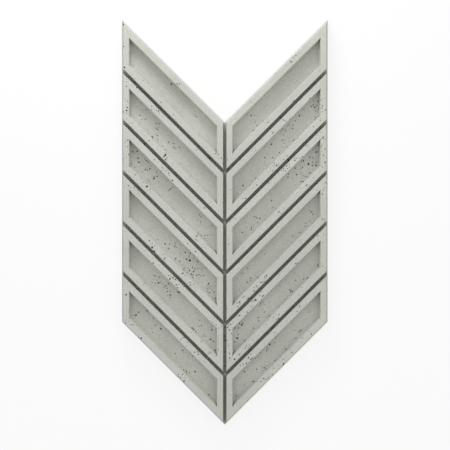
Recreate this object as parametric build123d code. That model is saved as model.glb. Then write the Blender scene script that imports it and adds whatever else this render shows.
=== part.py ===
"""Textured concrete wall panel, cast in one piece, lying on its flat back with the relief up.

X runs across the two columns of slats, Y up the panel as it hangs on a wall, and Z out of
its back. The columns meet at an upright spine and their slats fall towards it, so the
outline is a chevron, with a point at the lower end and a matching notch at the upper end.
A sloping line is named by its level, the height at which it would cross the spine:
level = y - SLOPE * abs(x).
"""

import math
import os

from build123d import *

# Driving dimensions, in millimetres and degrees
PANEL_WIDTH = 300.0  # across both columns, at the back
PANEL_THICKNESS = 30.0  # from the back to the front face
ROWS = 6  # slats in each column
SLAT_ANGLE = 45.0  # slope of the slats
SLAT_WIDTH = 46.4  # across a slat at the front face, square to its long edges
GROOVE_WIDTH = 5.2  # joint between slats and along the spine, at the front face
GROOVE_DEPTH = 20.0  # of those joints, below the front face
LONG_RIM_WIDTH = 9.0  # rim beside a slat's long edges, at the front face
END_RIM_WIDTH = 8.3  # upright rim at a slat's two ends, at the front face
RECESS_DEPTH = 15.0  # of the sunk field inside each rim
SIDE_ANGLE = 7.0  # lean of the outer sides, which frees the casting from its mould
FIELD_ANGLE = 7.5  # lean of the sunk fields' walls, which frees the mould's blocks
GROOVE_ANGLE = 3.5  # lean of the joints' walls, which frees the mould's thin ribs
ARRIS = 0.4  # broken edge where a wall meets the front face
OVERRUN = 5.0  # how far a cutting shape stands clear of the front face

# Worked out from them
SLOPE = math.tan(math.radians(SLAT_ANGLE))
SIDE_LEAN = math.tan(math.radians(SIDE_ANGLE))
FIELD_LEAN = math.tan(math.radians(FIELD_ANGLE))
GROOVE_LEAN = math.tan(math.radians(GROOVE_ANGLE))
HALF_WIDTH = PANEL_WIDTH / 2
FLARE = PANEL_THICKNESS * SIDE_LEAN  # how far the back stands out beyond the front face
FRONT_HALF_WIDTH = HALF_WIDTH - FLARE


def drop(distance):
    """Difference in level between two sloping lines that are this far apart."""
    return distance / math.cos(math.radians(SLAT_ANGLE))


FRONT_SIDE = drop(ROWS * SLAT_WIDTH + (ROWS - 1) * GROOVE_WIDTH)
SIDE = FRONT_SIDE + 2 * drop(FLARE)
PANEL_LENGTH = SIDE + HALF_WIDTH * SLOPE
LOW_LEVEL = -PANEL_LENGTH / 2
HIGH_LEVEL = LOW_LEVEL + SIDE


def spread(height, lean):
    """How much wider than at the front face a sunk space is, on each side, at a height."""
    return (height - PANEL_THICKNESS) * lean


def chevron(half_width, low, high, height):
    """Level face over both columns, between two sloping lines."""
    rise = half_width * SLOPE
    corners = [
        (-half_width, low + rise),
        (0, low),
        (half_width, low + rise),
        (half_width, high + rise),
        (0, high),
        (-half_width, high + rise),
    ]
    return Pos(0, 0, height) * make_face(Polyline(*corners, close=True))


def slat_field(inner, outer, low, high, height):
    """Level parallelogram in the right column, between two uprights and two sloping lines."""
    corners = [
        (inner, low + inner * SLOPE),
        (outer, low + outer * SLOPE),
        (outer, high + outer * SLOPE),
        (inner, high + inner * SLOPE),
    ]
    return Pos(0, 0, height) * make_face(Polyline(*corners, close=True))


def drafted(face_at, *heights):
    """Solid with flat leaning walls between the outlines that face_at gives at two heights."""
    return loft([face_at(height) for height in heights], ruled=True)


def block_outline(height):
    """Outline of the whole casting, which narrows towards the front face."""
    inset = height * SIDE_LEAN
    return chevron(
        HALF_WIDTH - inset, LOW_LEVEL + drop(inset), HIGH_LEVEL - drop(inset), height
    )


def spine_outline(height):
    """Upright joint between the columns, open at both ends."""
    width = GROOVE_WIDTH + 2 * spread(height, GROOVE_LEAN)
    return Pos(0, 0, height) * Rectangle(width, 2 * PANEL_LENGTH)


def joint_outline(row, height):
    """Sloping joint under a row of slats, across both columns and open at both sides."""
    high = HIGH_LEVEL - drop(FLARE + row * (SLAT_WIDTH + GROOVE_WIDTH) + SLAT_WIDTH)
    low = high - drop(GROOVE_WIDTH)
    wider = drop(spread(height, GROOVE_LEAN))
    return chevron(PANEL_WIDTH, low - wider, high + wider, height)


def recess_outline(row, height):
    """Sunk field of one slat in the right column, inside its rim."""
    top = HIGH_LEVEL - drop(FLARE + row * (SLAT_WIDTH + GROOVE_WIDTH))
    wider = spread(height, FIELD_LEAN)
    return slat_field(
        GROOVE_WIDTH / 2 + END_RIM_WIDTH - wider,
        FRONT_HALF_WIDTH - END_RIM_WIDTH + wider,
        top - drop(SLAT_WIDTH - LONG_RIM_WIDTH + wider),
        top - drop(LONG_RIM_WIDTH - wider),
        height,
    )


ABOVE = PANEL_THICKNESS + OVERRUN
GROOVE_FLOOR = PANEL_THICKNESS - GROOVE_DEPTH
RECESS_FLOOR = PANEL_THICKNESS - RECESS_DEPTH

# The block, its joints and its sunk fields
block = drafted(block_outline, 0, PANEL_THICKNESS)
spine = drafted(spine_outline, GROOVE_FLOOR, ABOVE)
joints = [
    drafted(lambda height: joint_outline(row, height), GROOVE_FLOOR, ABOVE)
    for row in range(ROWS - 1)
]
recesses = [
    drafted(lambda height: recess_outline(row, height), RECESS_FLOOR, ABOVE)
    for row in range(ROWS)
]
mirrored = [mirror(recess, about=Plane.YZ) for recess in recesses]
relief = block - [spine, *joints, *recesses, *mirrored]

# The rims' edges, broken all round
rims = relief.faces().group_by(Axis.Z)[-1]
wall_panel = relief.solid().chamfer(ARRIS, None, rims.edges())

os.makedirs("parts", exist_ok=True)
export_step(wall_panel, "parts/wall_panel.step")
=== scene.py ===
"""Textured concrete wall panel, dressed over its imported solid.

The panel keeps the solid's moulded shape and gets what the casting left in it: air pores,
scattered and in clusters, nicks in its edges, and a mottled cement skin.
"""

import bmesh
import bpy
import numpy as np
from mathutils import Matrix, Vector
from mathutils.bvhtree import BVHTree


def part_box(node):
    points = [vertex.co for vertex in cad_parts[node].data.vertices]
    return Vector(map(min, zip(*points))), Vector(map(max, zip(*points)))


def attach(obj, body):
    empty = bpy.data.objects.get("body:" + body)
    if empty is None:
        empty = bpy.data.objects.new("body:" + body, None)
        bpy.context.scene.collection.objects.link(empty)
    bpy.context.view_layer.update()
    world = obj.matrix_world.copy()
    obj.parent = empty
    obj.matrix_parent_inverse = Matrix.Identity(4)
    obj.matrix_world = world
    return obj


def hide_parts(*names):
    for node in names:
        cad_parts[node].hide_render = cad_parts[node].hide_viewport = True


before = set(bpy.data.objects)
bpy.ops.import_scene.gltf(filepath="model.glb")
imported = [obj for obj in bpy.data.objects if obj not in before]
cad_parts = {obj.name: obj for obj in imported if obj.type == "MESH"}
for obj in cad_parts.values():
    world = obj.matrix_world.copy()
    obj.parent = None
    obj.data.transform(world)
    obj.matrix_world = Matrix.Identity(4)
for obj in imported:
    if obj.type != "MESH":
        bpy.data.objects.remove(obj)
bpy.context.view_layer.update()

bl_info = {
    "name": "Concrete wall panel",
    "version": (1, 0, 0),
    "blender": (4, 5, 0),
    "location": "3D View > Sidebar > Wall panel",
    "description": "Builds a cast concrete wall panel with its air pores, and its stage",
    "category": "Object",
}

MM = 0.001
NODE = "wall_panel"
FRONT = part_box(NODE)[1].z  # height of the front face
WELD = 0.001 * MM  # corners of the solid's triangles that are this near are one point

# How a face lies, by how much its normal rises
LEVEL = 0.95  # above this it is a rim's front or a floor
STEEP = 0.2  # below this it is a wall, and from here up to level a broken edge
BEHIND = -0.5  # below this it is the back

# Air pores
LEVEL_ODDS = 2.2  # of a scattered pore on a level face, against 1 on a wall
BACK_ODDS = 0.3  # and on the back
CORNERS = 8  # round a pore's mouth
MOUTH = 1.1  # makes a mouth with so few corners as large as a round one
RINGS = (62, 100, 137)  # of a bowl, as angles from its middle, in degrees from straight out
OVAL, DENT = 0.3, 0.14  # how far a bowl may be drawn out and dented, in radii
SHALLOWEST, DEEPEST = 0.85, 1.4  # depths of a bowl, in radii
ROOM = 0.75  # kept between the middles of two pores, in their diameters added up

# Stage
CAMERA_X, CAMERA_Y = 0.3 * MM, -4.2 * MM  # place of the camera above the panel
FLOOR_REACH = 4.0  # of the floor to each side, in metres
FLOOR_DROP = 0.1 * MM  # of the floor below the panel's back
FLOOR_TO_PANEL, FLOOR_TO_CAMERA = 0.6, 0.9  # grey of the floor by who looks at it
FLOOR_GLOW = 0.8  # share of plain white in what the camera sees of it
LAMP_SIZE = (0.3, 0.25)  # across and along, in metres
LAMP_PLACE = (-0.15, 0.85, 0.41)  # beyond the panel's upper end and a little to its left
LAMP_AIM = (0, 0.05, FRONT)


def linear(code):
    """Linear colour of an sRGB hex value, by the sRGB curve."""
    s = np.array([int(code[i : i + 2], 16) for i in (1, 3, 5)]) / 255
    curve = np.where(s <= 0.04045, s / 12.92, ((s + 0.055) / 1.055) ** 2.4)
    return tuple(float(c) for c in curve)


# The pores that show one by one, read from the photograph, slat by slat. Each has its
# place, in pixels of the 450 by 450 frame, and its diameter in millimetres.
PHOTO_SIDE = 450
PORES = (
    # Left column, first two slats
    (123.5, 24.5, 2.2), (124.4, 67.4, 2.4), (126, 72, 2.0), (126.5, 86.4, 1.7),
    (148.1, 83.2, 1.7), (134.9, 78.4, 1.3), (143.5, 80.4, 1.2), (171.4, 84.1, 2.6),
    (174.8, 84.6, 3.0), (172.8, 82.1, 2.0), (177.1, 83.8, 1.9), (179.6, 84.1, 1.7),
    (160.9, 102.3, 1.5), (151.7, 106.1, 1.4), (151.7, 109.3, 1.5), (156.6, 110.4, 1.5),
    (158.5, 111.1, 1.9), (160, 109.3, 1.8), (127.4, 107.4, 2.0), (126.7, 110.5, 2.6),
    (123.4, 111.9, 1.9), (126.6, 113, 1.5), (127.3, 101.4, 1.3), (130.3, 113.6, 1.6),
    (139.8, 115.5, 1.7), (141.7, 119.4, 1.5), (145.4, 119.3, 1.6), (156.6, 123.4, 1.7),
    (159.6, 123.9, 1.4), (146.4, 110, 1.5), (195.9, 116.4, 1.7), (173.1, 114.3, 1.2),
    (130.3, 123.2, 1.2), (132.6, 123.2, 1.3), (152.1, 137.4, 3.2), (157.2, 135.6, 1.8),
    (157.8, 139.7, 1.4), (149, 140.6, 1.7), (147.4, 143.7, 2.8), (144.6, 144.2, 2.0),
    (156, 128.4, 1.6), (157.6, 129.9, 1.9), (168.5, 142.4, 1.9), (173.6, 143.4, 1.8),
    (173.7, 147.3, 1.7), (174.7, 148.1, 1.4), (179.6, 147.4, 1.9), (165.1, 149.9, 1.5),
    (165.3, 154.9, 3.2), (164, 156.6, 2.2), (166.9, 157.8, 1.7), (165.6, 159.7, 2.1),
    (169.2, 165.6, 2.4), (166, 162.4, 2.0), (197.4, 149.6, 1.3), (209.4, 158.6, 2.2),
    (215.6, 153.7, 1.6), (218.3, 154.6, 1.6), (221.5, 158.1, 1.7),
    # Left column, third slat
    (162.4, 167.4, 1.5), (165.3, 171, 1.2), (168.7, 173.4, 1.9), (167, 170.3, 1.3),
    (169.2, 175.6, 1.3), (162.8, 170.3, 1.2), (172.4, 180.4, 2.2), (160.6, 171.6, 2.2),
    (164.6, 175.8, 1.9), (153.9, 165.3, 1.9), (132.6, 151.5, 1.9), (137.1, 151.4, 2.2),
    (134.7, 152.9, 1.3), (135.3, 146.9, 1.6), (138, 158.2, 2.3), (138.9, 162.2, 2.4),
    (146.7, 160.5, 2.0), (148.3, 162.2, 1.8), (144.9, 158.9, 1.3), (145.3, 169.4, 2.2),
    (147.6, 170.1, 1.9), (149.9, 168.7, 2.2), (142.4, 171.9, 1.4), (151, 166.7, 1.3),
    (156.6, 172.3, 1.7), (157.1, 176.4, 2.0), (153.9, 178.5, 2.6), (154.2, 176.6, 1.8),
    (135.1, 174.8, 1.8), (149, 180.9, 1.7), (143.9, 182.1, 1.3), (146.9, 186.5, 3.0),
    (150.3, 189.2, 1.3), (131.5, 163.9, 1.5), (134.9, 167.4, 1.3), (170.3, 189.4, 2.4),
    (172.8, 187.6, 1.7), (168.5, 190.6, 1.5), (159.4, 195.3, 1.9), (127.3, 140.3, 1.8),
    (128.7, 154.4, 1.8), (123.4, 158.9, 1.4), (123.4, 161.9, 1.3), (127.3, 146.6, 1.3),
    (154.6, 159.6, 1.5), (204.6, 207.9, 1.9), (199.4, 214.4, 1.6), (200.9, 216.4, 1.6),
    (197.8, 215.9, 1.3), (198.1, 219.7, 1.2), (200.4, 221.7, 1.4), (211.7, 225.4, 1.4),
    (198.1, 233.4, 1.7), (196.9, 235.9, 2.1), (196.1, 239.9, 1.7), (201.7, 236.1, 1.6),
    (204.8, 235.4, 1.7), (207.6, 235.6, 1.5), (204.8, 238.4, 1.6), (210.9, 234.5, 1.3),
    (200.3, 234.5, 1.2),
    # Left column, fourth slat
    (128.7, 185.6, 1.7), (134.4, 187.6, 1.5), (137.6, 190.4, 1.2), (144, 232.5, 1.6),
    (149.4, 240.7, 1.9), (152.2, 243.4, 1.5), (152.1, 247.4, 3.0), (154.4, 246.1, 1.3),
    (154.2, 251.3, 2.6), (162.8, 254.5, 1.5), (164.2, 259.1, 2.0), (165.3, 257.7, 1.5),
    (164.6, 254.1, 1.2), (165.1, 243.8, 2.3), (169.6, 244.1, 1.7), (168.5, 248.4, 2.0),
    (175.5, 243.3, 1.5), (174.7, 246.3, 2.0), (176.4, 247.4, 1.4), (157.6, 239.1, 1.3),
    (180.6, 253.4, 1.3), (185.4, 252.5, 2.1), (190.3, 253.4, 1.9), (189.2, 255.2, 1.3),
    (175.5, 258.4, 2.1), (179.4, 261.4, 2.0), (186.4, 259.1, 2.4), (189.9, 260.4, 3.4),
    (197.8, 261.8, 2.0), (193.5, 258.4, 1.3), (188.9, 257, 1.5), (192.4, 267.4, 1.9),
    (194.9, 269.1, 1.9), (198.1, 268.2, 1.6), (189.6, 270.6, 2.3), (193.5, 271.6, 2.1),
    (183.5, 269.6, 2.1), (184.9, 267.7, 1.4), (188.1, 268.4, 1.4), (182.8, 273.3, 2.3),
    (187.4, 272.7, 1.4), (191.4, 274.1, 2.3), (193.1, 275, 1.7), (196.7, 275.2, 2.1),
    (199.2, 274.5, 1.7), (200.6, 275.9, 1.4), (192.8, 277.6, 1.7), (184.9, 275.9, 1.3),
    (203.7, 275.4, 1.5), (201.7, 269.9, 1.3), (195.6, 251.5, 1.9), (187.6, 243.4, 1.5),
    (208.6, 283.8, 2.3), (207.8, 285.6, 1.5), (210.6, 286.4, 1.5), (207.8, 288.4, 1.7),
    (211, 289.1, 1.5), (209.4, 292.7, 2.1), (213.9, 292.1, 2.1), (215.6, 298.3, 2.3),
    (217.1, 299.9, 1.4), (207.4, 291.6, 1.2), (190.3, 282.4, 1.5), (190.3, 285, 1.9),
    (193.9, 284.5, 1.4),
    # Left column, fifth slat
    (173.1, 277.9, 2.1), (169.9, 278.9, 2.5), (168.5, 275.6, 1.5), (175.5, 279.5, 1.9),
    (176.4, 284.9, 1.9), (177.4, 287.6, 1.7), (179.2, 284.1, 1.3), (171, 276.3, 1.4),
    (154.9, 275.6, 2.0), (159.4, 277.2, 1.9), (152.1, 281.9, 1.6), (155.5, 283.3, 1.5),
    (158.5, 282.9, 2.7), (157.1, 280.2, 1.3), (160.6, 282, 1.4), (154.2, 285.4, 1.3),
    (162.8, 284.1, 1.5), (165.4, 285.8, 2.1), (168.4, 283.4, 1.9), (167.1, 288.3, 1.7),
    (167.4, 291.3, 1.9), (170.6, 291.6, 1.5), (170.4, 294.9, 2.3), (163.9, 287.4, 1.4),
    (170.1, 297.4, 1.3), (164.9, 277, 1.5), (171.7, 284.1, 1.7), (173.5, 285.6, 1.5),
    (179.1, 292.4, 2.9), (177.4, 292, 1.7), (144.2, 283.4, 1.6), (153.1, 263.1, 2.0),
    (160.6, 272.4, 1.5), (138.7, 251.3, 1.4), (199.9, 320.2, 1.6), (201.7, 325.2, 1.9),
    (198.7, 325.9, 1.3), (192.1, 328.1, 2.3), (193.7, 329.5, 2.3), (195.8, 331.9, 1.8),
    (211.7, 329.5, 2.3), (203.7, 335.9, 1.5), (216, 324.9, 1.6), (213.1, 322, 1.4),
    (218.9, 328.1, 1.4), (221.4, 326.6, 1.4), (206, 336.4, 1.3), (210.6, 339.3, 2.5),
    (213.5, 341.4, 1.8), (215.4, 350.4, 2.0), (218.5, 349.6, 1.4), (209.6, 352.1, 1.6),
    (210.8, 352.9, 1.5), (208.7, 353.4, 1.3),
    # Left column, last slat
    (126.4, 294.5, 2.3), (125.1, 295.2, 1.5), (147.1, 310.8, 2.3), (138.7, 312.2, 2.0),
    (135.9, 315.2, 2.5), (134.6, 314.9, 1.5), (153.6, 318.3, 1.9), (134.2, 321.3, 1.5),
    (133.1, 324.9, 1.6), (131.6, 324.5, 1.3), (125.6, 323.1, 1.7), (154.9, 325.6, 1.7),
    (151.9, 328.6, 1.5), (160.9, 328.8, 2.5), (152.8, 332.4, 1.5), (144.2, 333.9, 1.6),
    (141.2, 338.3, 2.5), (138.9, 337.5, 1.7), (180.6, 339.3, 1.4), (187.4, 342.6, 1.6),
    (186.7, 345.7, 1.3), (194.4, 352.3, 1.7), (197.1, 352, 1.6), (198.5, 354.3, 1.9),
    (204.6, 361.4, 1.3), (182.6, 350.4, 2.0), (175.1, 353.6, 1.9), (192.8, 356.2, 1.7),
    (183.5, 370.1, 2.0), (186.4, 371.4, 2.1), (186.6, 373.4, 2.1), (189.6, 372.3, 1.5),
    (182.4, 374.6, 1.7), (178.7, 374.3, 1.5), (195.1, 371.6, 2.5), (180.6, 377.5, 1.7),
    (179.4, 378.7, 2.3), (184.1, 381.1, 2.3), (178.1, 376.4, 1.7), (184.9, 378.2, 1.3),
    (208.9, 394.6, 1.7), (193.9, 393.6, 1.7), (196, 395.4, 1.4),
    # Spine
    (224.7, 321.4, 1.9), (225.4, 326.7, 2.0), (224.5, 336.1, 2.0), (224.3, 340.4, 2.3),
    (224.9, 351.8, 1.5), (224.5, 366.1, 2.0),
    # Right column, first two slats
    (290.9, 61.6, 2.1), (295.9, 55.4, 1.6), (293.6, 57.3, 1.3), (288.1, 71.4, 2.3),
    (290.7, 69.9, 1.7), (286.6, 72.9, 1.5), (250.7, 102.1, 1.3), (251.1, 115.4, 2.1),
    (254.1, 115.6, 1.3), (255.2, 122, 1.7), (256.9, 125.4, 1.6), (267.7, 122.4, 1.5),
    (253.2, 130.1, 1.9), (227.7, 159.9, 1.5), (270.6, 128.4, 2.0), (280.9, 117.9, 2.2),
    (317.9, 101.2, 2.1), (321.4, 100.1, 1.4), (324.9, 98.4, 1.2), (322.7, 105.6, 1.6),
    (321.9, 108.1, 1.6), (325.6, 109.8, 1.8), (311.6, 106.4, 1.9), (313.4, 105, 1.8),
    (314.7, 107.3, 2.3), (316.2, 106.2, 1.6), (315.8, 111.1, 1.3), (318.8, 113.6, 1.7),
    (318.4, 116.3, 1.8), (314.9, 119.8, 1.7), (315.6, 117.5, 1.4), (320.2, 120.7, 1.4),
    (318.4, 108.6, 1.3), (295.6, 114.3, 1.9), (299.5, 115.7, 2.3), (292.7, 117.1, 1.8),
    (289.5, 119.6, 1.6), (295.2, 120.4, 1.4), (303.1, 109.4, 1.3), (282.7, 119.3, 1.3),
    (284.5, 120.4, 1.3), (289, 124.5, 1.5), (293.1, 125.3, 1.7), (273.1, 132.4, 2.0),
    (272.2, 134, 1.4), (255.6, 150.4, 1.3), (292.6, 128.4, 1.9), (287.7, 126, 1.4),
    (285.9, 130.6, 1.6), (283.4, 134.9, 1.4), (280.9, 130.6, 1.4), (282.7, 129.2, 1.4),
    (282.2, 140.4, 1.9), (284, 139.7, 1.3), (283.8, 143, 1.2), (293.6, 140.4, 1.7),
    (286.6, 147.2, 1.6), (279.4, 152.4, 1.6), (271.4, 144.2, 2.3), (267.1, 153.6, 1.3),
    (264.9, 157.8, 2.2), (272.6, 157.8, 1.9), (313.6, 126.5, 1.5), (277, 159.6, 1.3),
    (283.3, 159.6, 1.4), (287.1, 156, 1.5), (274.5, 163.1, 1.5), (276.5, 165.4, 2.2),
    (278.8, 164.6, 1.4), (273.6, 166, 1.3), (272.6, 170.8, 1.5), (288.1, 159.8, 3.2),
    (255.6, 178.4, 1.7), (256.8, 185.1, 1.8), (243.1, 185.5, 2.3), (233.1, 188.5, 1.9),
    (230.6, 189.6, 1.4), (245.8, 198.5, 1.8), (242.7, 198.1, 1.4), (247, 199.9, 1.5),
    # Right column, third slat
    (294.7, 160.3, 2.1), (296.5, 158.1, 1.4), (299.9, 157.8, 1.4), (294.9, 158.1, 1.3),
    (286.6, 166, 1.9), (283.8, 168.5, 1.6), (285.2, 171, 1.7), (289.5, 167.1, 1.5),
    (287.4, 168.7, 1.4), (281.9, 170.3, 1.4), (289.1, 164.2, 1.3), (294.7, 165.9, 1.7),
    (295.2, 168.1, 2.1), (303.6, 160.6, 2.3), (301.6, 161, 1.6), (302.4, 167.3, 1.9),
    (300.9, 168.9, 1.3), (309.9, 157.3, 1.9), (312.7, 157.8, 1.4), (308.4, 164, 3.2),
    (312.4, 165.4, 2.1), (316.1, 165.4, 2.7), (316.1, 162.1, 1.6), (318.8, 162.1, 1.8),
    (316.4, 152.1, 2.3), (312.7, 162.1, 1.5), (314.1, 163.6, 1.3), (318.4, 145.3, 1.9),
    (288.4, 173.9, 1.9), (287.9, 177.2, 2.0), (296.6, 174.7, 2.3), (300.9, 173.9, 1.4),
    (305.6, 176.4, 1.8), (307.7, 177.4, 2.0), (309.9, 172.8, 2.0), (302.7, 175.8, 1.3),
    (301.3, 181.6, 1.6), (303.4, 181.4, 1.8), (298.1, 187.4, 1.4), (306.4, 185.3, 2.0),
    (300.6, 187.4, 1.3), (313.4, 177.8, 1.3), (306.8, 145.5, 1.5), (323.2, 137.4, 2.3),
    (325.1, 139.2, 1.5), (322, 138.9, 1.5), (321.9, 145.5, 1.6), (324.9, 148.9, 1.7),
    (323.6, 155.3, 1.9), (325.1, 162.4, 2.3), (322.4, 167.1, 1.4), (326.4, 157.4, 1.3),
    (326.6, 134.2, 1.4), (268.8, 183.1, 1.6), (267.1, 193.3, 1.6), (271.6, 200.4, 2.0),
    (272.6, 207.6, 1.6), (278.9, 211.9, 2.0), (254.5, 216.7, 1.7), (257, 217.9, 2.0),
    (259.9, 218.5, 2.1), (245.6, 222.1, 1.3), (251.5, 227.4, 1.8), (251.3, 229.7, 1.7),
    (235.2, 218.9, 1.4), (242.2, 232.5, 1.9), (228.4, 244.3, 1.5),
    # Right column, fourth slat
    (311.3, 211.7, 2.1), (312.9, 214.2, 1.9), (309.5, 210.3, 1.5), (298.1, 213.3, 1.4),
    (305.6, 223.1, 1.5), (305.2, 226.4, 1.4), (322.4, 219.2, 1.8), (324.6, 219.4, 1.4),
    (322.4, 194.2, 1.8), (323.1, 189.9, 1.6), (317, 190.3, 1.3), (300.4, 232.4, 1.6),
    (292.7, 235.9, 1.8), (313.4, 233.8, 1.6), (264.6, 254.1, 1.4), (247.4, 268.3, 1.6),
    (242.4, 268.8, 1.4), (242.4, 273.4, 1.5), (250.6, 278.1, 2.0), (247.1, 282.4, 2.0),
    (258.1, 277.4, 2.3), (250.2, 280.9, 1.4), (266.6, 275.6, 2.1), (264.5, 277, 1.7),
    (265.9, 277.9, 1.4), (260.9, 282.4, 2.0), (262.9, 282, 1.7), (256.5, 286.1, 1.9),
    (254.3, 290.9, 2.1), (254.1, 287.7, 1.5), (258.4, 288.1, 1.5), (264.5, 281.6, 1.3),
    (248.4, 298.4, 2.7), (244.7, 296.3, 1.6), (242.7, 297.6, 1.4), (239.6, 302.1, 2.3),
    (237, 303.1, 1.7), (237.9, 306.4, 1.8), (239.9, 304.1, 1.5),
    # Right column, fifth slat
    (317.7, 235.6, 1.6), (323.8, 234.5, 1.4), (322.7, 242.4, 1.4), (308.8, 253.3, 1.6),
    (295.6, 263.6, 1.9), (297.4, 263.1, 1.5), (318.4, 264.5, 2.0), (318.4, 266.2, 1.5),
    (317, 265.6, 1.3), (322.5, 266.1, 1.4), (295.6, 280.2, 1.7), (303.4, 279.3, 1.6),
    (307.5, 277.9, 1.9), (290.9, 290.9, 2.3), (289.5, 289.7, 1.8), (292.6, 291.5, 1.8),
    (293.3, 290, 1.5), (290.6, 292.6, 1.5), (301.6, 287.6, 1.4), (255.4, 300, 3.2),
    (253.1, 301.3, 1.7), (250.9, 301.4, 1.4), (260.4, 301.6, 2.3), (262.7, 302, 1.6),
    (262.4, 296.3, 1.9), (263.6, 295.4, 1.6), (259.9, 295.6, 1.4), (261.6, 291.6, 1.4),
    (260.6, 303.8, 1.5), (251.6, 306.3, 1.5), (247.4, 312.1, 1.9), (245.6, 316.3, 1.9),
    (239.5, 315.4, 1.9), (264.5, 312, 1.5), (264.9, 304.9, 1.3), (258.3, 317.4, 1.9),
    (258.6, 320.4, 1.7), (268.1, 316.1, 1.6), (269.9, 315.9, 1.6), (278.9, 314.4, 1.7),
    (278.2, 318.6, 2.1), (276.3, 319.9, 1.4), (273.8, 317.4, 1.3), (230.6, 324.4, 1.8),
    (229.5, 329.9, 2.0), (227.7, 327.4, 2.1), (231.4, 333.4, 1.6), (228.4, 325.2, 1.6),
    (239.5, 323.4, 2.1), (241.6, 324.9, 2.7), (242.9, 323.4, 1.7), (238.6, 327.9, 1.9),
    (234.7, 327.9, 2.1), (253.4, 328.1, 2.0), (238.3, 334.5, 1.6), (237.2, 338.1, 3.0),
    (244.6, 340.9, 1.8), (234.5, 341.8, 1.8), (228.6, 345.4, 1.5), (246.6, 345.7, 1.5),
    (249.5, 345.4, 1.5), (245.4, 348.2, 1.7), (248.3, 347.5, 1.5), (229.5, 353.4, 1.9),
    (239.5, 354.4, 1.9), (232.7, 355.6, 2.0), (229.7, 358.2, 2.1), (234.6, 359.3, 2.5),
    # Right column, last slat
    (299.5, 306.3, 2.0), (297.2, 311.3, 1.5), (308.8, 312, 1.7), (300.2, 330.4, 2.1),
    (299.1, 332.1, 1.8), (294.5, 330.2, 1.4), (302, 330.2, 1.4), (311.4, 334.1, 1.8),
    (274.9, 332.4, 1.5), (275.2, 337.4, 1.5), (313.8, 321.3, 1.3), (302, 338.1, 1.6),
    (248.4, 357.6, 2.1), (252, 358.2, 2.1), (250.6, 359.6, 1.9), (250.6, 354.3, 1.4),
    (246.3, 363.4, 2.1), (243.4, 364.3, 1.6), (240.2, 365.6, 1.6), (269.7, 344.3, 2.7),
    (274.9, 342.7, 1.7), (266.6, 350.4, 2.0), (264.9, 347.5, 1.6), (267.7, 348.2, 1.5),
    (260.6, 352.5, 1.4), (255.2, 358.2, 1.4), (286.3, 349.3, 1.9), (275.2, 360.5, 1.6),
    (292, 352.5, 1.7), (283.4, 359.3, 1.5), (283.8, 363.9, 2.7), (282.7, 365.7, 1.9),
    (285.2, 363.4, 1.7), (244.4, 371.6, 2.1), (256.8, 369.4, 1.9), (264.1, 367.5, 2.1),
    (265.7, 368.9, 1.9), (266.3, 365.7, 1.4), (261.3, 366.1, 1.3), (263.1, 370.7, 1.3),
    (253.4, 381.4, 2.1), (247.7, 367.9, 1.3), (273.6, 368.2, 1.5), (272.2, 374.5, 1.8),
    (263.4, 378.4, 1.9), (267.9, 378.2, 1.9), (265.6, 379.4, 1.6), (260.6, 381.4, 1.5),
    (269.5, 376.2, 1.4), (308.6, 340, 2.1), (295.6, 338.2, 1.5), (236.6, 395.7, 1.5),
)


class ConcreteSettings(bpy.types.PropertyGroup):
    """Colours and finish of the cement skin."""

    skin: bpy.props.FloatVectorProperty(
        name="Skin",
        description="Dry cement skin on the mould side",
        subtype="COLOR",
        default=linear("#CDCEC6"),
    )
    cloud: bpy.props.FloatVectorProperty(
        name="Cloud",
        description="Cement skin where the paste dried darker",
        subtype="COLOR",
        default=linear("#C4C6BE"),
    )
    sand: bpy.props.FloatVectorProperty(
        name="Sand",
        description="Grains of sand that show through the skin",
        subtype="COLOR",
        default=linear("#A9A89B"),
    )
    lime: bpy.props.FloatVectorProperty(
        name="Lime",
        description="Pale specks where lime dried on the skin",
        subtype="COLOR",
        default=linear("#E2E3DC"),
    )
    # Dust, and painted shade, for the tight corners and the joints' floors
    dust_and_shade: bpy.props.FloatVectorProperty(
        name="Dust",
        description="Dust and damp in the tight inner corners",
        subtype="COLOR",
        default=linear("#57573F"),
    )
    # Pore linings: dust, and painted shade that makes the pores look as dark as deep holes
    pore: bpy.props.FloatVectorProperty(
        name="Pore",
        description="Lining of an air pore, where dust and damp stay",
        subtype="COLOR",
        default=linear("#35352D"),
    )
    roughness: bpy.props.FloatProperty(
        name="Roughness",
        description="Roughness of the skin",
        subtype="FACTOR",
        default=0.88,
        min=0,
        max=1,
    )


class PoreSettings(bpy.types.PropertyGroup):
    """Number and size of the air pores and nicks."""

    seed: bpy.props.IntProperty(
        name="Seed", description="Start of the scatter", default=7, min=0
    )
    scattered: bpy.props.IntProperty(
        name="Scattered",
        description="Pores tried all over the panel, beside those read from the photograph",
        default=2700,
        min=0,
    )
    nicks: bpy.props.IntProperty(
        name="Nicks", description="Pores that broke out along the edges", default=120, min=0
    )
    company: bpy.props.FloatProperty(
        name="Company",
        description="How far from a pore read from the photograph the others keep, on average",
        unit="LENGTH",
        default=10 * MM,
        min=0.1 * MM,
    )
    small: bpy.props.FloatProperty(
        name="Smallest",
        description="Diameter of the smallest pores",
        unit="LENGTH",
        default=0.8 * MM,
        min=0.2 * MM,
    )
    faint: bpy.props.FloatProperty(
        name="Largest in front",
        description="Diameter of the largest pores scattered where the photograph looks",
        unit="LENGTH",
        default=1.1 * MM,
        min=0.5 * MM,
    )
    large: bpy.props.FloatProperty(
        name="Largest",
        description="Diameter of the few largest pores scattered on the sides and back",
        unit="LENGTH",
        default=2.6 * MM,
        min=0.5 * MM,
    )


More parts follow.
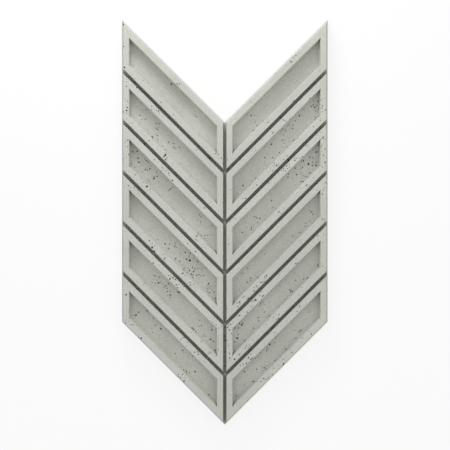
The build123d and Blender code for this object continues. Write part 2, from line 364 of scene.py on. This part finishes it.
class StageSettings(bpy.types.PropertyGroup):
    """Camera and light."""

    distance: bpy.props.FloatProperty(
        name="Distance",
        description="From the panel's front face to the camera",
        unit="LENGTH",
        default=2.2,
        min=0.1,
    )
    lens: bpy.props.FloatProperty(
        name="Lens", description="Focal length in millimetres", default=122.2, min=1
    )
    sky: bpy.props.FloatProperty(
        name="Sky", description="Strength of the even light", default=0.2, min=0
    )
    zenith: bpy.props.FloatProperty(
        name="Zenith", description="Light added straight above", default=0.8, min=0
    )
    window: bpy.props.FloatProperty(
        name="Window", description="Light added from the panel's upper end", default=0.36, min=0
    )
    key: bpy.props.FloatProperty(
        name="Key", description="Power of the key lamp in watts", default=3.65, min=0
    )


def camera_place(stage):
    """Where the camera stands, almost straight above the panel's middle."""
    return Vector((CAMERA_X, CAMERA_Y, FRONT + stage.distance))


def add_node(tree, kind, settings=(), **inputs):
    """Adds a node with its settings. An input is a value, or an output socket to link.

    An input goes by its name, with _ for a space, or by its number, as in i0.
    """
    node = tree.nodes.new(kind)
    for name, value in dict(settings).items():
        setattr(node, name, value)
    for name, value in inputs.items():
        key = int(name[1:]) if name[0] == "i" and name[1:].isdigit() else name.replace("_", " ")
        socket = node.inputs[key]
        if isinstance(value, bpy.types.NodeSocket):
            tree.links.new(value, socket)
        else:
            socket.default_value = value
    return node


def skin_material(settings):
    """Grey cement cast against a smooth mould.

    The eye gets a matt, pale grey, cloudy over a hand's width and mottled over a few
    millimetres, with grains of sand, specks of lime, and dust with painted shade in the corners.
    """
    material = bpy.data.materials.new("cast_concrete_skin")
    material.use_nodes = True
    tree = material.node_tree
    tree.nodes.clear()
    place = add_node(tree, "ShaderNodeTexCoord").outputs["Object"]

    # Clouds of paste that dried at different speeds, about 70 mm across
    clouds = add_node(
        tree, "ShaderNodeTexNoise", Vector=place, Scale=1 / (70 * MM), Detail=3.0, Roughness=0.55
    )
    cloudy = add_node(
        tree, "ShaderNodeMapRange", Value=clouds.outputs[0], From_Min=0.35, From_Max=0.65
    )
    paste = add_node(
        tree,
        "ShaderNodeMix",
        {"data_type": "RGBA"},
        Factor=cloudy.outputs[0],
        A=(*settings.skin, 1),
        B=(*settings.cloud, 1),
    )

    # Sand, drawn at 1.6 mm because its real grains of half a millimetre wouldn't show
    grains = add_node(
        tree, "ShaderNodeTexNoise", Vector=place, Scale=1 / (1.6 * MM), Detail=2.0, Roughness=0.6
    )
    shown = add_node(
        tree,
        "ShaderNodeMapRange",
        Value=grains.outputs[0],
        From_Min=0.45,
        From_Max=0.75,
        To_Max=0.65,
    )
    sandy = add_node(
        tree,
        "ShaderNodeMix",
        {"data_type": "RGBA"},
        Factor=shown.outputs[0],
        A=paste.outputs["Result"],
        B=(*settings.sand, 1),
    )

    # Specks of lime, about 2 mm across
    specks = add_node(
        tree, "ShaderNodeTexNoise", Vector=place, Scale=1 / (2 * MM), Detail=2.0, Roughness=0.6
    )
    limed = add_node(
        tree,
        "ShaderNodeMapRange",
        Value=specks.outputs[0],
        From_Min=0.55,
        From_Max=0.75,
        To_Max=0.6,
    )
    limy = add_node(
        tree,
        "ShaderNodeMix",
        {"data_type": "RGBA"},
        Factor=limed.outputs[0],
        A=sandy.outputs["Result"],
        B=(*settings.lime, 1),
    )

    # Dust and painted shade on the tight corners and the joints' floors, within 4 mm of their
    # walls: the more closed in a point is, the darker its colour, as shade falls there
    nook = add_node(
        tree, "ShaderNodeAmbientOcclusion", {"samples": 8, "only_local": True}, Distance=4 * MM
    )
    dusty_and_shaded = add_node(
        tree,
        "ShaderNodeMapRange",
        Value=nook.outputs["AO"],
        From_Min=0.1,
        From_Max=0.4,
        To_Min=0.8,
        To_Max=0.0,
    )
    colour = add_node(
        tree,
        "ShaderNodeMix",
        {"data_type": "RGBA"},
        Factor=dusty_and_shaded.outputs[0],
        A=limy.outputs["Result"],
        B=(*settings.dust_and_shade, 1),
    )

    # A finish mottled over 6 mm, and the relief of the sand
    mottle = add_node(
        tree, "ShaderNodeTexNoise", Vector=place, Scale=1 / (6 * MM), Detail=4.0, Roughness=0.6
    )
    finish = add_node(
        tree,
        "ShaderNodeMapRange",
        Value=mottle.outputs[0],
        From_Min=0.3,
        From_Max=0.7,
        To_Min=settings.roughness - 0.06,
        To_Max=settings.roughness + 0.06,
    )
    relief = add_node(
        tree, "ShaderNodeBump", Strength=0.5, Distance=0.1 * MM, Height=grains.outputs[0]
    )

    # The back, which was the open top of the mould, keeps the trowel's strokes
    stroked = add_node(
        tree, "ShaderNodeMapping", Vector=place, Rotation=(0, 0, 0.5), Scale=(1, 9, 1)
    )
    strokes = add_node(
        tree,
        "ShaderNodeTexNoise",
        Vector=stroked.outputs[0],
        Scale=1 / (80 * MM),
        Detail=4.0,
        Roughness=0.6,
    )
    height = add_node(tree, "ShaderNodeSeparateXYZ", Vector=place).outputs["Z"]
    behind = add_node(
        tree,
        "ShaderNodeMapRange",
        Value=height,
        From_Min=0.1 * MM,
        From_Max=0.3 * MM,
        To_Min=0.7,
        To_Max=0.0,
    )
    trowelled = add_node(
        tree,
        "ShaderNodeBump",
        Strength=behind.outputs[0],
        Distance=1.2 * MM,
        Height=strokes.outputs[0],
        Normal=relief.outputs[0],
    )
    shader = add_node(
        tree,
        "ShaderNodeBsdfPrincipled",
        Base_Color=colour.outputs["Result"],
        Diffuse_Roughness=0.2,
        Roughness=finish.outputs[0],
        IOR=1.5,
        Normal=trowelled.outputs[0],
    )
    add_node(tree, "ShaderNodeOutputMaterial", Surface=shader.outputs["BSDF"])
    return material


def pore_material(settings):
    """Inside of an air pore: dusty cement paste, painted darker than the skin as shade."""
    material = bpy.data.materials.new("cast_concrete_pore")
    material.use_nodes = True
    tree = material.node_tree
    tree.nodes.clear()
    place = add_node(tree, "ShaderNodeTexCoord").outputs["Object"]
    dust_and_shade = add_node(tree, "ShaderNodeTexNoise", Vector=place, Scale=1 / (0.8 * MM), Detail=2.0)
    caught = add_node(
        tree,
        "ShaderNodeMapRange",
        Value=dust_and_shade.outputs[0],
        From_Min=0.4,
        From_Max=0.8,
        To_Max=0.3,
    )
    # The lining's dark colour is dust and painted shade, with sand showing in patches
    colour = add_node(
        tree,
        "ShaderNodeMix",
        {"data_type": "RGBA"},
        Factor=caught.outputs[0],
        A=(*settings.pore, 1),
        B=(*settings.sand, 1),
    )
    shader = add_node(
        tree,
        "ShaderNodeBsdfPrincipled",
        Base_Color=colour.outputs["Result"],
        Roughness=0.95,
        IOR=1.5,
    )
    add_node(tree, "ShaderNodeOutputMaterial", Surface=shader.outputs["BSDF"])
    return material


def merged_copy(name):
    """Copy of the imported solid's mesh with its loose triangles joined."""
    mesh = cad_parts[NODE].data.copy()
    mesh.name = name
    mesh.materials.clear()
    work = bmesh.new()
    work.from_mesh(mesh)
    bmesh.ops.remove_doubles(work, verts=work.verts, dist=WELD)
    work.to_mesh(mesh)
    work.free()
    return mesh


def seen_at(mesh, stage, pixels):
    """Points of the panel, with their normals, that the camera sees at pixels of its frame.

    A ray leaves the camera through each pixel, which lies on the film at
    36 mm / 450 * (pixel - 225), one lens length in front of it. The third array says which
    pixels show the panel.
    """
    work = bmesh.new()
    work.from_mesh(mesh)
    tree = BVHTree.FromBMesh(work)
    work.free()
    film = bpy.types.Camera.bl_rna.properties["sensor_width"].default / PHOTO_SIDE
    eye = camera_place(stage)
    hits = []
    for x, y in np.asarray(pixels) - PHOTO_SIDE / 2:
        place, normal, _, _ = tree.ray_cast(eye, Vector((x * film, -y * film, -stage.lens)))
        hits.append((place, normal))
    kept = np.array([place is not None for place, _ in hits])
    places = np.array([place for place, _ in hits if place is not None])
    normals = np.array([normal for place, normal in hits if place is not None])
    return places, normals, kept


def spread_over(mesh, rng, count, share):
    """Points scattered evenly over a share of the mesh's triangles, with their normals.

    A triangle is drawn in proportion to its area times its share, and the point in it is
    a + (1 - s) * (b - a) + s * t * (c - a), with s the root of one even number and t another.
    """
    mesh.calc_loop_triangles()
    corners = np.empty(len(mesh.loop_triangles) * 3, np.int32)
    mesh.loop_triangles.foreach_get("vertices", corners)
    points = np.empty(len(mesh.vertices) * 3, np.float32)
    mesh.vertices.foreach_get("co", points)
    a, b, c = points.reshape(-1, 3)[corners].reshape(-1, 3, 3).transpose(1, 0, 2)
    cross = np.cross(b - a, c - a)
    area = np.linalg.norm(cross, axis=1)
    normals = cross / np.maximum(area, 1e-12)[:, None]
    odds = area * share(normals)
    drawn = rng.choice(len(area), size=count, p=odds / odds.sum())
    s, t = np.sqrt(rng.random((1, count, 1))), rng.random((1, count, 1))
    a, b, c = a[drawn], b[drawn], c[drawn]
    return (a + (1 - s) * (b - a) + s * t * (c - a))[0], normals[drawn]


def bowls(rng, places, normals, diameters):
    """Cutting bowls with a lid, one at each place.

    With v once round and polar angle t from the lid to the lowest point, a bowl is
    place + radius * lump(v) * sin t * (cos v * side + sin v * across) + deep * cos t * normal,
    where lump(v) = 1 + oval * cos(2 v + turn) + dent * cos(3 v + turn).
    """
    count, around = len(places), CORNERS
    polar = np.radians(RINGS)
    v = np.linspace(0, 2 * np.pi, around, endpoint=False)
    oval, dent = rng.uniform(0, OVAL, (count, 1)), rng.uniform(0, DENT, (count, 1))
    turn = rng.uniform(0, 2 * np.pi, (2, count, 1))
    lump = 1 + oval * np.cos(2 * v + turn[0]) + dent * np.cos(3 * v + turn[1])
    radius = MOUTH * diameters[:, None] / 2
    deep = rng.uniform(SHALLOWEST, DEEPEST, (count, 1)) * radius

    # Two directions along the face, worked out from X or, where that is near the normal, from Y
    helper = np.where(np.abs(normals[:, :1]) < 0.9, [[1.0, 0.0, 0.0]], [[0.0, 1.0, 0.0]])
    side = np.cross(helper, normals)
    side /= np.linalg.norm(side, axis=1)[:, None]
    across = np.cross(normals, side)

    # Points of each bowl: its rings from the lid down, then its foot
    flat = np.cos(v)[:, None] * side[:, None] + np.sin(v)[:, None] * across[:, None]
    flat = flat * (radius * lump)[..., None]
    sink = (deep * normals)[:, None, None]
    rings = np.sin(polar)[:, None, None] * flat[:, None]
    rings = places[:, None, None] + rings + np.cos(polar)[:, None, None] * sink
    foot = places - deep * normals
    points = np.concatenate([rings.reshape(count, -1, 3), foot[:, None]], axis=1)

    # Its faces: bands between the rings, a fan to the foot, and the lid
    step, ring = np.arange(around), np.arange(len(polar) - 1)[:, None] * around
    after = (step + 1) % around
    band = np.stack([ring + step, ring + around + step, ring + around + after, ring + after], -1)
    low = (len(polar) - 1) * around
    fan = np.stack([low + step, np.full(around, low + around), low + after], -1)
    start = np.arange(count)[:, None, None] * points.shape[1]
    faces = (start + band.reshape(1, -1, 4)).reshape(-1, 4).tolist()
    faces += (start + fan[None]).reshape(-1, 3).tolist()
    faces += (start[:, 0] + step[None]).tolist()
    mesh = bpy.data.meshes.new("pore_cutters")
    mesh.from_pydata(points.reshape(-1, 3), [], faces)
    return mesh


def carve(piece, cutters):
    """Cuts the bowls out of the piece. Their faces become its linings, with its last material."""
    for material in piece.data.materials:
        cutters.materials.append(material)
    lining = len(piece.data.materials) - 1
    kind = np.full(len(cutters.polygons), lining, np.int32)
    cutters.polygons.foreach_set("material_index", kind)
    cutter = bpy.data.objects.new(cutters.name, cutters)
    bpy.context.scene.collection.objects.link(cutter)
    cut = piece.modifiers.new("pores", "BOOLEAN")
    cut.operation, cut.solver, cut.object = "DIFFERENCE", "MANIFOLD", cutter
    faces = len(piece.data.polygons)
    view = bpy.context.evaluated_depsgraph_get()
    piece.data = bpy.data.meshes.new_from_object(piece.evaluated_get(view))
    piece.modifiers.clear()
    bpy.data.objects.remove(cutter)
    if len(piece.data.polygons) <= faces:
        raise RuntimeError("no pore was cut into the panel")
    kind = np.empty(len(piece.data.polygons), np.int32)
    piece.data.polygons.foreach_get("material_index", kind)
    piece.data.polygons.foreach_set("use_smooth", kind == lining)


class WALLPANEL_OT_cast(bpy.types.Operator):
    """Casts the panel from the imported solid, with its air pores"""

    bl_idname = "wall_panel.cast"
    bl_label = "Cast panel"

    def execute(self, context):
        scene = context.scene
        concrete, pores = scene.panel_concrete, scene.panel_pores
        rng = np.random.default_rng(pores.seed)
        mesh = merged_copy("cast_panel")

        # Pores that the photograph places, then those it doesn't, then nicks along the edges
        read = np.array(PORES)
        spot, spot_normal, hit = seen_at(mesh, scene.panel_stage, read[:, :2])
        loose, loose_normal = spread_over(
            mesh,
            rng,
            pores.scattered,
            lambda n: np.select([n[:, 2] > LEVEL, n[:, 2] < BEHIND], [LEVEL_ODDS, BACK_ODDS], 1),
        )
        nick, nick_normal = spread_over(
            mesh, rng, pores.nicks, lambda n: (n[:, 2] > STEEP) & (n[:, 2] < LEVEL)
        )

        # Pores keep company: away from the walls and the back, the rest stay near those it places
        extra, extra_normal = np.vstack([loose, nick]), np.vstack([loose_normal, nick_normal])
        apart = np.linalg.norm(extra[:, None] - spot[None], axis=2).min(axis=1)
        aside = extra_normal[:, 2] < STEEP
        stays = aside | (apart < rng.exponential(pores.company, len(extra)))
        places = np.vstack([spot, extra[stays]])
        normals = np.vstack([spot_normal, extra_normal[stays]])

        # Most of them are small, and those on level faces stay under what the photograph shows
        most = np.where(extra_normal[stays, 2] > LEVEL, pores.faint, pores.large)
        grown = pores.small * (most / pores.small) ** (rng.random(len(most)) ** 2)
        sizes = np.concatenate([read[hit, 2] * MM, grown])

        piece = bpy.data.objects.new("cast_panel", mesh)
        scene.collection.objects.link(piece)
        for material in (skin_material(concrete), pore_material(concrete)):
            mesh.materials.append(material)

        # A pore that would run into an earlier one waits for the second turn, where the read
        # ones open into their neighbours and the scattered ones are left out
        left = np.arange(len(places))
        for _ in range(2):
            gaps = np.linalg.norm(places[left, None] - places[None, left], axis=2)
            reach = ROOM * (sizes[left, None] + sizes[None, left])
            clear = ~np.any(np.tril(gaps < reach, -1), axis=1)
            now = left[clear]
            carve(piece, bowls(rng, places[now], normals[now], sizes[now]))
            left = left[~clear & (left < len(spot))]

        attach(piece, "root")
        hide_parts(NODE)
        return {"FINISHED"}


def looks_on(tree):
    """1 for rays from the camera, also by way of a mirror or a glass, and 0 for the rest."""
    ray = add_node(tree, "ShaderNodeLightPath").outputs
    straight = add_node(
        tree,
        "ShaderNodeMath",
        {"operation": "MAXIMUM"},
        i0=ray["Is Camera Ray"],
        i1=ray["Is Glossy Ray"],
    )
    return add_node(
        tree,
        "ShaderNodeMath",
        {"operation": "MAXIMUM"},
        i0=straight.outputs[0],
        i1=ray["Is Transmission Ray"],
    ).outputs[0]


class WALLPANEL_OT_stage(bpy.types.Operator):
    """Sets the floor, the light and the camera"""

    bl_idname = "wall_panel.stage"
    bl_label = "Set stage"

    def execute(self, context):
        scene, settings = context.scene, context.scene.panel_stage
        scene.view_settings.view_transform = "Standard"

        mesh = bpy.data.meshes.new("floor")
        corners = np.array([(-1, -1), (1, -1), (1, 1), (-1, 1)]) * FLOOR_REACH
        mesh.from_pydata([(x, y, -FLOOR_DROP) for x, y in corners], [], [(0, 1, 2, 3)])
        floor = bpy.data.objects.new("floor", mesh)
        scene.collection.objects.link(floor)

        # White to the camera, but grey to the panel's sides, which it would light up too much
        paint = bpy.data.materials.new("white_floor")
        paint.use_nodes = True
        tree = paint.node_tree
        tree.nodes.clear()
        seen = looks_on(tree)
        tint = add_node(
            tree,
            "ShaderNodeMix",
            {"data_type": "RGBA"},
            Factor=seen,
            A=(*[FLOOR_TO_PANEL] * 3, 1),
            B=(*[FLOOR_TO_CAMERA] * 3, 1),
        )
        plain = add_node(tree, "ShaderNodeBsdfDiffuse", Color=tint.outputs["Result"])
        white = add_node(tree, "ShaderNodeEmission", Color=(1, 1, 1, 1), Strength=1.0)
        share = add_node(
            tree, "ShaderNodeMath", {"operation": "MULTIPLY"}, i0=seen, i1=FLOOR_GLOW
        )
        mix = add_node(
            tree,
            "ShaderNodeMixShader",
            Fac=share.outputs[0],
            i1=plain.outputs[0],
            i2=white.outputs[0],
        )
        add_node(tree, "ShaderNodeOutputMaterial", Surface=mix.outputs[0])
        mesh.materials.append(paint)

        # Even light, with more from straight above and from the panel's upper end
        world = bpy.data.worlds.new("even_light")
        scene.world = world
        world.use_nodes = True
        tree = world.node_tree
        tree.nodes.clear()
        way = add_node(tree, "ShaderNodeTexCoord").outputs["Generated"]
        part = add_node(tree, "ShaderNodeSeparateXYZ", Vector=way)
        above = add_node(
            tree, "ShaderNodeMath", {"operation": "MAXIMUM"}, i0=part.outputs["Z"], i1=0.0
        )
        along = add_node(
            tree, "ShaderNodeMath", {"operation": "MAXIMUM"}, i0=part.outputs["Y"], i1=0.0
        )
        overhead = add_node(
            tree,
            "ShaderNodeMath",
            {"operation": "MULTIPLY_ADD"},
            i0=above.outputs[0],
            i1=settings.zenith,
            i2=settings.sky,
        )
        lit = add_node(
            tree,
            "ShaderNodeMath",
            {"operation": "MULTIPLY_ADD"},
            i0=along.outputs[0],
            i1=settings.window,
            i2=overhead.outputs[0],
        )
        sky = add_node(
            tree, "ShaderNodeBackground", Color=(1, 1, 1, 1), Strength=lit.outputs[0]
        )
        back = add_node(tree, "ShaderNodeBackground", Color=(1, 1, 1, 1), Strength=1.0)
        mix = add_node(
            tree,
            "ShaderNodeMixShader",
            Fac=looks_on(tree),
            i1=sky.outputs[0],
            i2=back.outputs[0],
        )
        add_node(tree, "ShaderNodeOutputWorld", Surface=mix.outputs[0])

        lamp = bpy.data.lights.new("key", "AREA")
        lamp.shape = "RECTANGLE"
        lamp.size, lamp.size_y = LAMP_SIZE
        lamp.energy = settings.key
        key = bpy.data.objects.new("key", lamp)
        scene.collection.objects.link(key)
        key.location = LAMP_PLACE
        aim = Vector(LAMP_AIM) - key.location
        key.rotation_euler = aim.to_track_quat("-Z", "Y").to_euler()

        lens = bpy.data.cameras.new("camera")
        lens.lens = settings.lens
        camera = bpy.data.objects.new("camera", lens)
        scene.collection.objects.link(camera)
        camera.location = camera_place(settings)
        scene.camera = camera
        return {"FINISHED"}


class WALLPANEL_PT_sidebar(bpy.types.Panel):
    """Sizes, finish and steps of the wall panel"""

    bl_label = "Wall panel"
    bl_idname = "WALLPANEL_PT_sidebar"
    bl_space_type = "VIEW_3D"
    bl_region_type = "UI"
    bl_category = "Wall panel"

    def draw(self, context):
        for group in (
            context.scene.panel_concrete,
            context.scene.panel_pores,
            context.scene.panel_stage,
        ):
            box = self.layout.box()
            for name in group.bl_rna.properties.keys():
                if name not in ("rna_type", "name"):
                    box.prop(group, name)
        for operator in (WALLPANEL_OT_cast, WALLPANEL_OT_stage):
            self.layout.operator(operator.bl_idname)


CLASSES = (
    ConcreteSettings,
    PoreSettings,
    StageSettings,
    WALLPANEL_OT_cast,
    WALLPANEL_OT_stage,
    WALLPANEL_PT_sidebar,
)
GROUPS = {
    "panel_concrete": ConcreteSettings,
    "panel_pores": PoreSettings,
    "panel_stage": StageSettings,
}


def register():
    for item in CLASSES:
        bpy.utils.register_class(item)
    for name, group in GROUPS.items():
        setattr(bpy.types.Scene, name, bpy.props.PointerProperty(type=group))


def unregister():
    for name in GROUPS:
        delattr(bpy.types.Scene, name)
    for item in reversed(CLASSES):
        bpy.utils.unregister_class(item)


def main():
    register()
    bpy.ops.wall_panel.cast()
    bpy.ops.wall_panel.stage()


if __name__ == "__main__":
    main()
